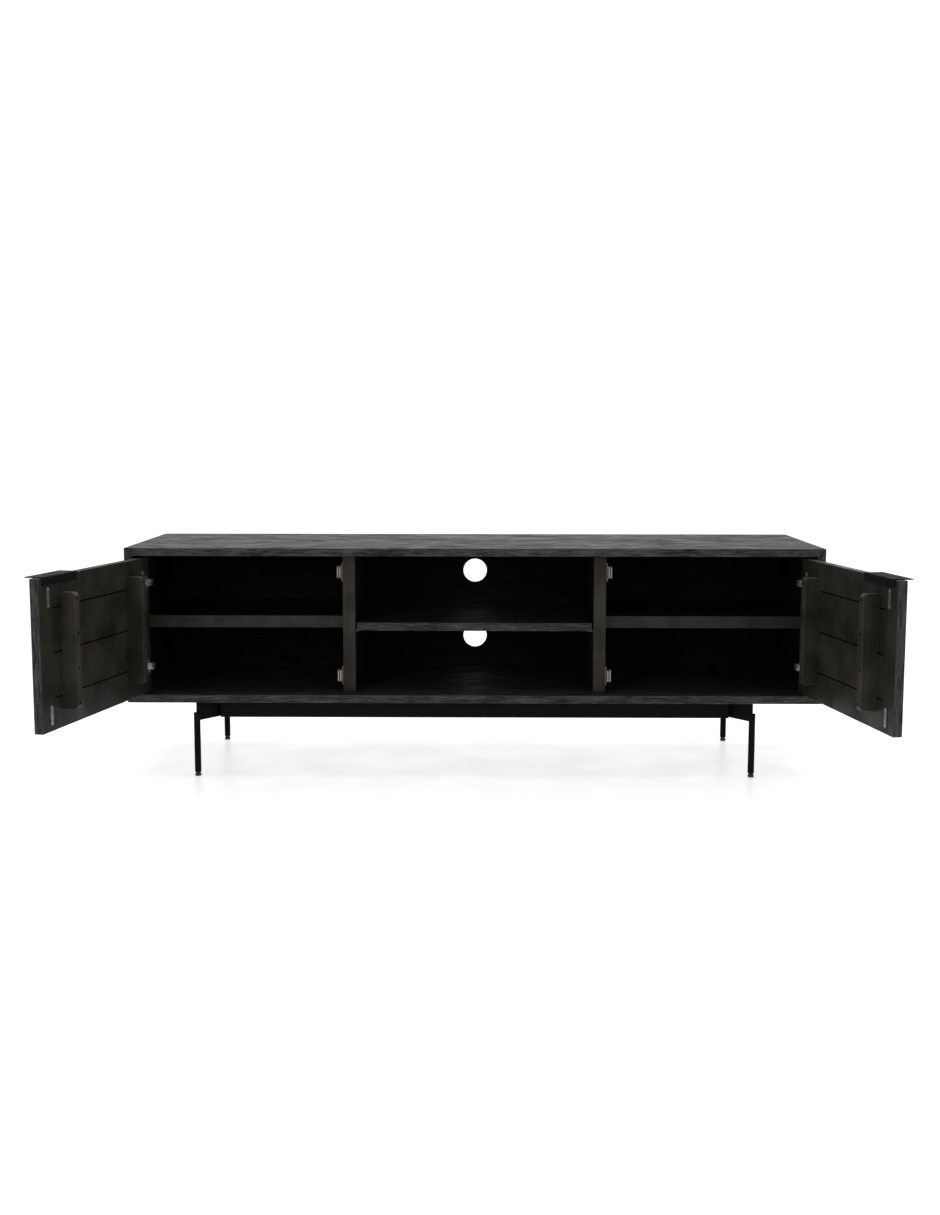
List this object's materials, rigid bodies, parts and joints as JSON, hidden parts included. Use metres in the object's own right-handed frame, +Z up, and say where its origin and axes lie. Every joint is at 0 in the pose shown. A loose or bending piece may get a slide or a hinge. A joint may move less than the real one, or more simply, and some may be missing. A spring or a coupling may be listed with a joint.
{
  "type": "media cabinet",
  "caption": "Low media cabinet: mitred wood carcass with an open middle bay, hinged doors over shelved side bays, and a slim steel base on round legs.",
  "frame": {"origin": "on the floor under the middle of the carcass, at the centre of the four feet's rectangle", "axes": "+X to the right along the cabinet's length, -Y out of the front, +Z up"},
  "size_m": [1.7645, 0.9081, 0.536],
  "materials": {
    "charcoal_wood": "black-stained, open brushed grain, matt",
    "inner_wood": "black-stained veneer, matt",
    "olive_paint": "smooth brown-olive lacquer, satin",
    "beech": "raw beech",
    "zinc_screws": "zinc plated",
    "nickel_steel": "nickel plated, satin",
    "catch_copper": "brown moulded plastic",
    "magnet": "ferrite",
    "black_steel": "fine-texture black powder coat",
    "foot_plastic": "black nylon"
  },
  "bodies": {
    "carcass": {"top_panel": "charcoal_wood", "bottom_panel": "charcoal_wood", "left_side_panel": "charcoal_wood", "right_side_panel": "charcoal_wood", "middle_shelf": "charcoal_wood", "back_panel": "inner_wood", "left_divider": "olive_paint", "right_divider": "olive_paint", "left_shelf": "olive_paint", "right_shelf": "olive_paint", "mitre_splines": "beech", "divider_dowels": "beech", "back_panel_screws": "zinc_screws", "catch_screws": "zinc_screws", "mounting_plate_screws": "zinc_screws", "arm_clamp_screws": "zinc_screws", "base_screws": "zinc_screws", "side_shelf_pegs": "nickel_steel", "middle_shelf_pegs": "nickel_steel", "catch_pole_plates": "nickel_steel", "hinge_mounting_plates": "nickel_steel", "hinge_arms": "nickel_steel", "catch_housings": "catch_copper", "catch_magnets": "magnet", "front_rail": "black_steel", "rear_rail": "black_steel", "rail_end_plates": "black_steel", "corner_wings": "black_steel", "corner_pads": "black_steel", "mounting_tabs": "black_steel", "cross_bars": "black_steel", "front_left_leg": "black_steel", "front_right_leg": "black_steel", "rear_left_leg": "black_steel", "rear_right_leg": "black_steel"},
    "left_door": {"left_door_panel": "olive_paint", "left_door_battens": "olive_paint", "left_batten_screws": "zinc_screws", "left_strike_screws": "zinc_screws", "left_cup_screws": "zinc_screws", "left_hinge_pins": "zinc_screws", "left_handle": "black_steel", "left_handle_screws": "black_steel", "left_strike_plates": "nickel_steel", "left_hinge_cups": "nickel_steel"},
    "right_door": {"right_door_panel": "olive_paint", "right_door_battens": "olive_paint", "right_batten_screws": "zinc_screws", "right_strike_screws": "zinc_screws", "right_cup_screws": "zinc_screws", "right_hinge_pins": "zinc_screws", "right_handle": "black_steel", "right_handle_screws": "black_steel", "right_strike_plates": "nickel_steel", "right_hinge_cups": "nickel_steel"},
    "front_left_foot": {"front_left_foot": "foot_plastic"},
    "front_right_foot": {"front_right_foot": "foot_plastic"},
    "rear_left_foot": {"rear_left_foot": "foot_plastic"},
    "rear_right_foot": {"rear_right_foot": "foot_plastic"}
  },
  "joints": [
    {"name": "left_door_hinge", "type": "hinge", "parent": "carcass", "child": "left_door", "pos_m": [-0.7655, -0.2, 0.3565], "axis": [0, 0, 1], "range_deg": [-1.6, 102.4]},
    {"name": "right_door_hinge", "type": "hinge", "parent": "carcass", "child": "right_door", "pos_m": [0.7655, -0.2, 0.3565], "axis": [0, 0, -1], "range_deg": [-4.5, 99.5]},
    {"name": "front_left_foot_screw", "type": "slide", "parent": "carcass", "child": "front_left_foot", "axis": [0, 0, 1], "range_m": [-0.008, 0]},
    {"name": "front_right_foot_screw", "type": "slide", "parent": "carcass", "child": "front_right_foot", "axis": [0, 0, 1], "range_m": [-0.008, 0]},
    {"name": "rear_left_foot_screw", "type": "slide", "parent": "carcass", "child": "rear_left_foot", "axis": [0, 0, 1], "range_m": [-0.008, 0]},
    {"name": "rear_right_foot_screw", "type": "slide", "parent": "carcass", "child": "rear_right_foot", "axis": [0, 0, 1], "range_m": [-0.008, 0]}
  ]
}
